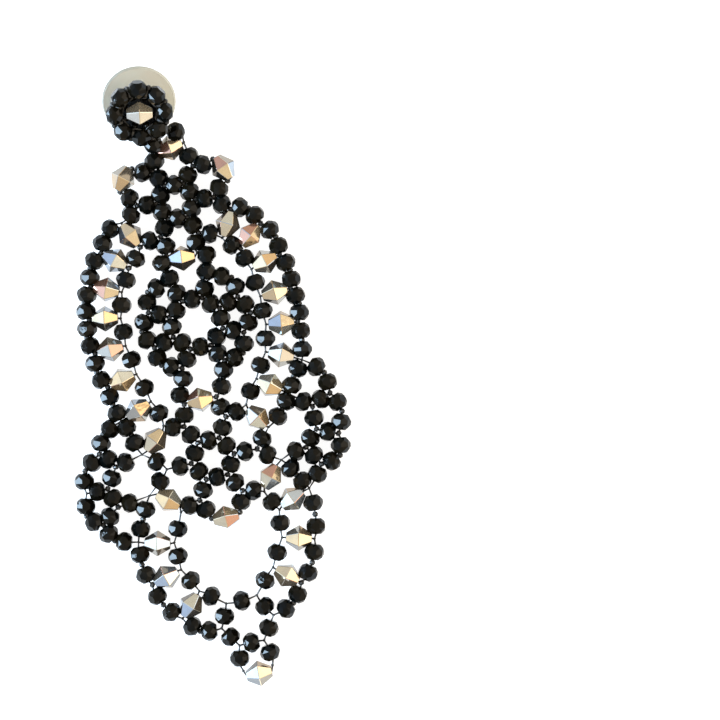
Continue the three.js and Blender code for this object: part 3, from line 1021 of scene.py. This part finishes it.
def model_seed():
    deselect()
    bpy.ops.mesh.primitive_torus_add(
        major_radius=SEED_DIAMETER / 3 * MM, minor_radius=SEED_DIAMETER / 6 * MM,
        major_segments=SEED_STEPS, minor_segments=SEED_SIDES)
    piece = bpy.context.object
    edit(piece)
    bpy.ops.mesh.select_all(action="SELECT")
    stretch = SEED_LENGTH / (SEED_DIAMETER / 3)
    bpy.ops.transform.resize(value=(1, 1, stretch), center_override=(0, 0, 0))
    finish_piece(piece, "seed")
    bpy.ops.object.shade_smooth()
    return piece


# The dark disc on the pad is painted shade for the hollow inside the flower.
shade_disc = model_shade_disc()
shade_disc.data.transform(head_frame(pad_top + SHADE_DISC_THICKNESS / 2 + SHADE_DISC_GAP))
seed = model_seed()
seeds = []
for k in range(PETALS):
    angle = petal_angle(k + 0.5)
    spot = head_point(SEED_RING, angle, flower_height - SEED_DROP)
    seeds.append(copy_at(seed, frame_of(spot, head_direction(angle + 90), 0), f"seed_{k}"))
bpy.data.objects.remove(seed)
dress(join_pieces(seeds, "flower_seed_beads"), glass, "black_glass")
print("felt and", PETALS, "seed beads")

# %% Finish for the shade disc
# The disc's near-black colour is painted shade for the hollow under the stone.
shade_disc_finish = Finish("painted_shade_disc")
fibre = shade_disc_finish.noise(5000.0, 4.0)
shade_disc_finish.set(
    Base_Color=shade_disc_finish.mix(fibre, rgb(0.008, 0.008, 0.009), rgb(0.03, 0.03, 0.032)),
    Roughness=0.85 + fibre * 0.1,
    Normal=shade_disc_finish.bump(fibre, 0.6, 0.12),
)
dress(shade_disc, shade_disc_finish, "black_glass")
print("finish:", shade_disc_finish.material.name, len(shade_disc_finish.tree.nodes), "nodes")

# %% [markdown]
# The clear disc
#
# A big soft disc behind the flower keeps it from tipping forward. It is moulded in milky plastic
# with a short sleeve that grips the post. Half of its outline is drawn as a strip and spun round.

# %% Model the disc
SLEEVE_DIAMETER, SLEEVE_LENGTH, SLEEVE_FLARE = 2.6, 2.2, 0.3
POST_DIAMETER, POST_GAP = 0.8, 0.3
POST_HOLE = POST_DIAMETER / 2 + POST_GAP
DISC_EDGE = 0.25
DISC_STEPS = 96
WELD = 0.001
SMOOTH_BELOW = 35


def model_disc():
    half = DISC_THICKNESS / 2
    radius = DISC_DIAMETER / 2
    sleeve = SLEEVE_DIAMETER / 2
    outline = [
        (POST_HOLE, -half - SLEEVE_LENGTH), (sleeve, -half - SLEEVE_LENGTH),
        (sleeve, -half - SLEEVE_FLARE), (sleeve + SLEEVE_FLARE, -half),
        (radius - DISC_EDGE, -half), (radius, 0), (radius - DISC_EDGE, half), (POST_HOLE, half)]
    deselect()
    bpy.ops.mesh.primitive_circle_add(vertices=len(outline), radius=MM, fill_type="NOTHING")
    piece = bpy.context.object
    for vertex, (across, height) in zip(piece.data.vertices, outline):
        vertex.co = Vector((across, 0, height)) * MM
    edit(piece)
    bpy.ops.mesh.select_mode(type="VERT")
    bpy.ops.mesh.select_all(action="SELECT")
    bpy.ops.mesh.spin(steps=DISC_STEPS, angle=2 * math.pi, center=(0, 0, 0), axis=(0, 0, 1))
    bpy.ops.mesh.select_all(action="SELECT")
    bpy.ops.mesh.remove_doubles(threshold=WELD * MM)
    bpy.ops.mesh.normals_make_consistent(inside=False)
    finish_piece(piece, "clutch_disc_moulded")
    piece.data.transform(head_frame(0))
    bpy.ops.object.shade_smooth_by_angle(angle=math.radians(SMOOTH_BELOW))
    return piece


disc = model_disc()

# %% Finish for the disc
# Towards its edge the disc is painted a darker grey: painted shade along the rounded rim.
SHADED_RIM_WIDTH, SHADED_RIM_EDGE = 0.45, 0.05
plastic = Finish("milky_plastic")
cloud = plastic.noise(180.0, 3.0)
disc_middle = (head_origin + origin) * MM
from_middle = plastic.add(
    "ShaderNodeVectorMath", {"operation": "DISTANCE"}, {0: plastic.place(), 1: disc_middle}, "Value")
rim_shade = from_middle.smooth((DISC_DIAMETER / 2 - SHADED_RIM_WIDTH) * MM, (DISC_DIAMETER / 2 - SHADED_RIM_EDGE) * MM)
milk = plastic.mix(cloud.smooth(0.3, 0.7), rgb(0.82, 0.86, 0.78), rgb(0.80, 0.76, 0.66))
plastic.set(
    # The grey mixed in at the rim is painted shade.
    Base_Color=plastic.mix(rim_shade * 0.8, milk, rgb(0.46, 0.46, 0.40)),
    Roughness=0.28 + cloud * 0.2,
    IOR=1.45,
    Transmission_Weight=0.2,
)
dress(disc, plastic, "clear_plastic", "clutch_disc")
print("disc:", len(disc.data.polygons), "faces")

# %% [markdown]
# The post
#
# The pad and post hide behind the flower. They keep the plain solid and get a brushed steel finish:
# a fine noise, stretched upwards, dulls it in streaks.

# %% Finish for the post
steel = Finish("brushed_steel")
stretched = steel.add(
    "ShaderNodeMapping", {}, {"Vector": steel.place(), "Scale": (6000.0, 6000.0, 500.0)})
streak = steel.add("ShaderNodeTexNoise", {}, {"Vector": stretched, "Scale": 1.0, "Detail": 3.0})
steel.set(
    Base_Color=steel.mix(streak, rgb(0.46, 0.46, 0.45), rgb(0.66, 0.65, 0.63)),
    Metallic=1.0,
    Roughness=0.2 + streak * 0.2,
)
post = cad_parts["ear_post"]
post.data.materials.clear()
post.data.materials.append(steel.material)
print("finish:", steel.material.name, "on", post.name)

# %% [markdown]
# Table and light
#
# The card glows a little, so that it is paper-white. A cool window stands low on the left and a
# warm wall on the right, so each flat of a stone mirrors something else. Black glass gives back only
# a few parts in a hundred of a light, and silver nearly all of it. One window can't suit both, so
# the bright one is linked to all but the stones, the disc and the post, as a studio shades a mirror
# with a flag, and a dim twin lights those.

# %% Table
FLOOR = 8.0
deselect()
bpy.ops.mesh.primitive_plane_add(size=FLOOR, location=(0, 0, 0))
card = bpy.context.object
card.name = "card"
paper = Finish("white_card")
grain = paper.noise(1200.0, 3.0)
paper.set(
    Base_Color=paper.mix(grain, rgb(0.34, 0.34, 0.34), rgb(0.38, 0.38, 0.38)),
    Roughness=0.9,
    Emission_Color=rgb(1.0, 1.0, 1.0),
    Emission_Strength=0.92,
)
card.data.materials.append(paper.material)
print("table:", card.name, round(card.dimensions.x, 1), "m wide")


# %% Lights
def lamp(name, tilt, azimuth, distance, size, power, colour, lit=()):
    light = bpy.data.lights.new(name, "AREA")
    light.shape = "SQUARE"
    light.size = size
    light.energy = power
    light.color = colour
    holder = bpy.data.objects.new(name, light)
    bpy.context.scene.collection.objects.link(holder)
    turn = math.radians(azimuth) + VIEW_TURN
    rise = math.radians(tilt)
    aim = Vector((math.sin(rise) * math.cos(turn), math.sin(rise) * math.sin(turn), math.cos(rise)))
    holder.location = aim * distance
    holder.rotation_euler = aim.to_track_quat("Z", "Y").to_euler()
    if lit:
        group = bpy.data.collections.new(f"lit_by_{name}")
        for piece in lit:
            group.objects.link(piece)
        holder.light_linking.receiver_collection = group


WINDOW = dict(tilt=62, azimuth=182, distance=0.7, size=0.44, colour=(0.58, 0.79, 1.0))
WARM_WALL = dict(tilt=56, azimuth=5, distance=0.8, size=0.7, colour=(1.0, 0.9, 0.75))
shaded = [*cut_stones, disc, post]
unshaded = [piece for piece in bpy.context.scene.objects
            if piece.type == "MESH" and piece not in shaded]
lamp("window", power=26.0, lit=unshaded, **WINDOW)
lamp("window_twin", power=0.65, lit=shaded, **WINDOW)
lamp("warm_wall", power=1.7, **WARM_WALL)
print("bright window on", len(unshaded), "pieces, dim one on", len(shaded))

# %% [markdown]
# The room
#
# The rest of the room is one slow sweep of colour across the view: cool on the window's side, dim
# in the middle and warm on the other side.

# %% The room as the world's colour
ROOM_STOPS = [(0.0, rgb(0.62, 0.74, 0.92)), (0.5, rgb(0.52, 0.47, 0.38)), (1.0, rgb(1.0, 0.86, 0.66))]
ROOM_REACH = 0.9
ROOM_STRENGTH = 1.15
world = bpy.data.worlds.new("room")
bpy.context.scene.world = world
world.use_nodes = True
room = Nodes(world.node_tree)
view_right = (math.cos(VIEW_TURN), math.sin(VIEW_TURN), 0)
facing = room.add("ShaderNodeTexCoord", output="Generated")
sideways = room.add(
    "ShaderNodeVectorMath", {"operation": "DOT_PRODUCT"}, {0: facing, 1: view_right}, "Value")
spread = sideways.ramp(-ROOM_REACH, ROOM_REACH, "LINEAR")
sweep = room.add("ShaderNodeValToRGB", {"stops": ROOM_STOPS}, {"Fac": spread})
background = world.node_tree.nodes["Background"]
room.feed(background.inputs["Color"], sweep)
room.feed(background.inputs["Strength"], ROOM_STRENGTH)
print("room:", len(world.node_tree.nodes), "nodes")
